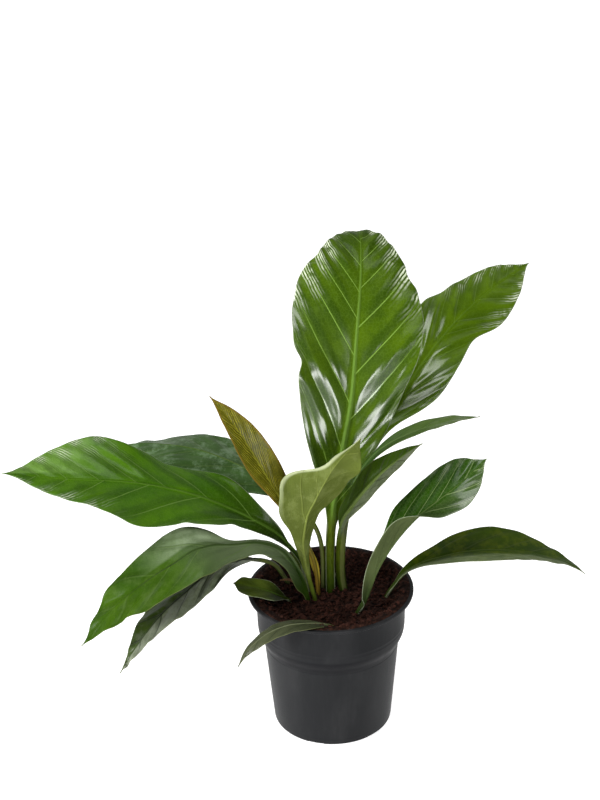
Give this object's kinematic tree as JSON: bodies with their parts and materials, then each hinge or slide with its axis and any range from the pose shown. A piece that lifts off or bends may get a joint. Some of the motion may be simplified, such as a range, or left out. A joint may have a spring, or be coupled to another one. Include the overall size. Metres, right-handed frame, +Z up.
{
  "type": "potted foliage plant",
  "caption": "Bird's-nest anthurium foliage plant with broad glossy leaves, growing in peat in a round plastic grower pot that stands on a flat base.",
  "frame": {"origin": "centre of the pot's base, on the plane it stands on", "axes": "+Z up the pot's axis; +X to the right as seen from the front, along the widest spread of the leaves; -Y to the front"},
  "size_m": [0.6514, 0.4006, 0.5465],
  "materials": {
    "pot": "matt dark grey moulded polypropylene",
    "soil": "rough crumbly red-brown peat and coir",
    "leaf_green": "glossy waxed mid green leaf skin with pale ribs",
    "leaf_dark": "satin dark green leaf skin",
    "leaf_young": "satin pale olive underside of a young leaf",
    "leaf_bronze": "satin bronze green young leaf with fine yellow veins",
    "sheath_yellow": "matt yellowed thin sheath",
    "sheath_brown": "dry matt brown sheath"
  },
  "bodies": {
    "root": {"pot": "pot", "soil": "soil", "leaf_big_upright": "leaf_green", "leaf_right_tall": "leaf_green", "leaf_right_arch": "leaf_dark", "leaf_right_dark": "leaf_dark", "leaf_young_pale": "leaf_young", "leaf_young_bronze": "leaf_bronze", "leaf_left_long": "leaf_green", "leaf_left_back": "leaf_dark", "leaf_left_arch": "leaf_green", "leaf_left_low": "leaf_dark", "leaf_rim_left": "leaf_green", "leaf_rim_front": "leaf_dark", "leaf_right_cup": "leaf_green", "leaf_right_low": "leaf_dark", "sheath_yellow": "sheath_yellow", "sheath_brown": "sheath_brown"}
  },
  "joints": []
}
